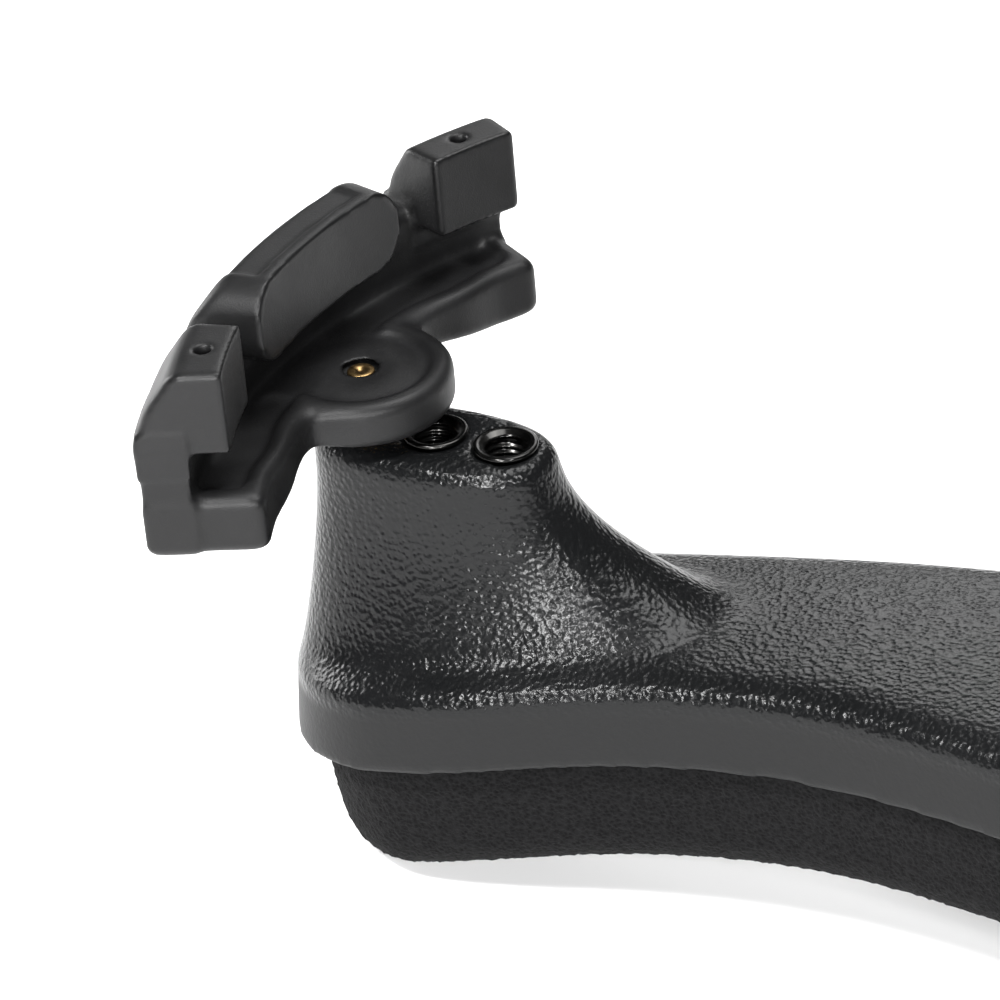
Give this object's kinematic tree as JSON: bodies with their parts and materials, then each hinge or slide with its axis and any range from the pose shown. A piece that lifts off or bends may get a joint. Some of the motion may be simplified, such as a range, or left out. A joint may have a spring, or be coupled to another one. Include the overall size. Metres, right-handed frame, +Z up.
{
  "type": "violin shoulder rest",
  "caption": "Arched violin shoulder rest with a foam pad and a swivelling, height-adjustable rubber fork foot at each end.",
  "frame": {"origin": "middle of the bounding box's lowest face, where the foam pad stands", "axes": "+X along the rest towards the right foot, +Y across it away from the chest side, +Z up towards the violin"},
  "size_m": [0.2388, 0.0638, 0.0743],
  "materials": {
    "bridge_plastic": "pebble-grained moulded black plastic with a soft sheen",
    "plate_plastic": "smooth black plastic",
    "foam": "matte black fine-cell foam",
    "adhesive": "thin black adhesive film",
    "fork_rubber": "matte black rubber, polished by handling on its edges",
    "core_plastic": "glass-filled nylon",
    "insert_metal": "black-plated brass",
    "stem_brass": "turned brass",
    "washer_nylon": "natural nylon",
    "screw_steel": "zinc-plated steel"
  },
  "bodies": {
    "root": {"bridge_shell": "bridge_plastic", "closing_plate": "plate_plastic", "plate_screws": "screw_steel", "foam_adhesive": "adhesive", "foam_pad": "foam", "left_outer_insert": "insert_metal", "left_middle_insert": "insert_metal", "left_inner_insert": "insert_metal", "right_outer_insert": "insert_metal", "right_middle_insert": "insert_metal", "right_inner_insert": "insert_metal"},
    "left_lift": {"left_thrust_washer": "washer_nylon"},
    "left_stem": {"left_stem_screw": "stem_brass", "left_retaining_clip": "screw_steel"},
    "left_foot": {"left_fork_cover": "fork_rubber", "left_fork_core": "core_plastic"},
    "right_lift": {"right_thrust_washer": "washer_nylon"},
    "right_stem": {"right_stem_screw": "stem_brass", "right_retaining_clip": "screw_steel"},
    "right_foot": {"right_fork_cover": "fork_rubber", "right_fork_core": "core_plastic"}
  },
  "joints": [
    {"name": "left_stem_turn", "type": "hinge", "parent": "left_lift", "child": "left_stem", "pos_m": [-0.10407, -0.00055, 0.05195], "axis": [-0.0872, 0, 0.9962], "range_deg": [-231, 4506]},
    {"name": "left_height", "type": "slide", "parent": "root", "child": "left_lift", "axis": [-0.0872, 0, 0.9962], "range_m": [-0.0005, 0.01]},
    {"name": "left_swivel", "type": "hinge", "parent": "left_lift", "child": "left_foot", "pos_m": [-0.10407, -0.00055, 0.05195], "axis": [-0.0872, 0, 0.9962], "continuous": true},
    {"name": "right_stem_turn", "type": "hinge", "parent": "right_lift", "child": "right_stem", "pos_m": [0.10407, -0.00055, 0.05195], "axis": [0.0872, 0, 0.9962], "range_deg": [-231, 4506]},
    {"name": "right_height", "type": "slide", "parent": "root", "child": "right_lift", "axis": [0.0872, 0, 0.9962], "range_m": [-0.0005, 0.01]},
    {"name": "right_swivel", "type": "hinge", "parent": "right_lift", "child": "right_foot", "pos_m": [0.10407, -0.00055, 0.05195], "axis": [0.0872, 0, 0.9962], "continuous": true}
  ],
  "couplings": [
    {"joint": "left_stem_turn", "follows": "left_height", "rad_per_m": 7854},
    {"joint": "right_stem_turn", "follows": "right_height", "rad_per_m": 7854}
  ]
}
